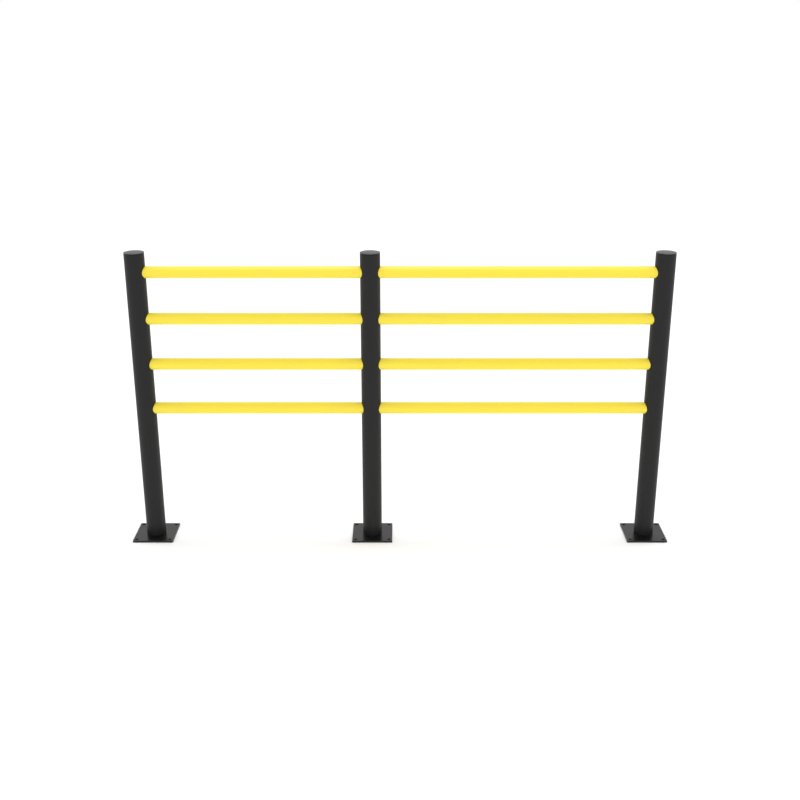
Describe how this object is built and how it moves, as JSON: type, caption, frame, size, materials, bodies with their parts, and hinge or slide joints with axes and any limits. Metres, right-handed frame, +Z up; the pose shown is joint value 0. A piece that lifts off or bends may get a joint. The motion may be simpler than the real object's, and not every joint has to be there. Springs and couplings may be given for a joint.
{
  "type": "guard rail barricade",
  "caption": "Bolt-down guard barricade: black round posts on square floor plates carry rows of yellow round rails over a short and a long bay.",
  "frame": {"origin": "on the floor, midway between the two end posts and on the line of the posts", "axes": "+X along the barricade from the short bay to the long bay, +Y to the back, where the post screws are, +Z up"},
  "size_m": [2.137, 0.16, 1.162],
  "materials": {
    "post_black": "satin",
    "cap_black": "satin",
    "rail_yellow": "satin",
    "plate_black": "satin",
    "spigot_black": "satin",
    "zinc_steel": "satin",
    "inner_grey": "matte"
  },
  "bodies": {
    "root": {"floor_plate_left": "plate_black", "floor_plate_middle": "plate_black", "floor_plate_right": "plate_black", "spigot_left": "spigot_black", "spigot_middle": "spigot_black", "spigot_right": "spigot_black", "spigot_weld_left": "spigot_black", "spigot_weld_middle": "spigot_black", "spigot_weld_right": "spigot_black", "weld_nuts_left": "zinc_steel", "weld_nuts_middle": "zinc_steel", "weld_nuts_right": "zinc_steel", "post_left": "post_black", "post_middle": "post_black", "post_right": "post_black", "post_screws_left": "zinc_steel", "post_screws_middle": "zinc_steel", "post_screws_right": "zinc_steel", "post_cap_left": "cap_black", "post_cap_middle": "cap_black", "post_cap_right": "cap_black", "short_rail_top": "rail_yellow", "short_rail_upper": "rail_yellow", "short_rail_lower": "rail_yellow", "short_rail_bottom": "rail_yellow", "long_rail_top": "rail_yellow", "long_rail_upper": "rail_yellow", "long_rail_lower": "rail_yellow", "long_rail_bottom": "rail_yellow", "rail_coupler_top": "inner_grey", "rail_coupler_upper": "inner_grey", "rail_coupler_lower": "inner_grey", "rail_coupler_bottom": "inner_grey", "left_end_plug_top": "inner_grey", "left_end_plug_upper": "inner_grey", "left_end_plug_lower": "inner_grey", "left_end_plug_bottom": "inner_grey", "right_end_plug_top": "inner_grey", "right_end_plug_upper": "inner_grey", "right_end_plug_lower": "inner_grey", "right_end_plug_bottom": "inner_grey", "locking_rod_left": "zinc_steel", "locking_rod_middle_left": "zinc_steel", "locking_rod_middle_right": "zinc_steel", "locking_rod_right": "zinc_steel", "rod_saddle_left": "inner_grey", "rod_saddle_middle_left": "inner_grey", "rod_saddle_middle_right": "inner_grey", "rod_saddle_right": "inner_grey"}
  },
  "joints": []
}
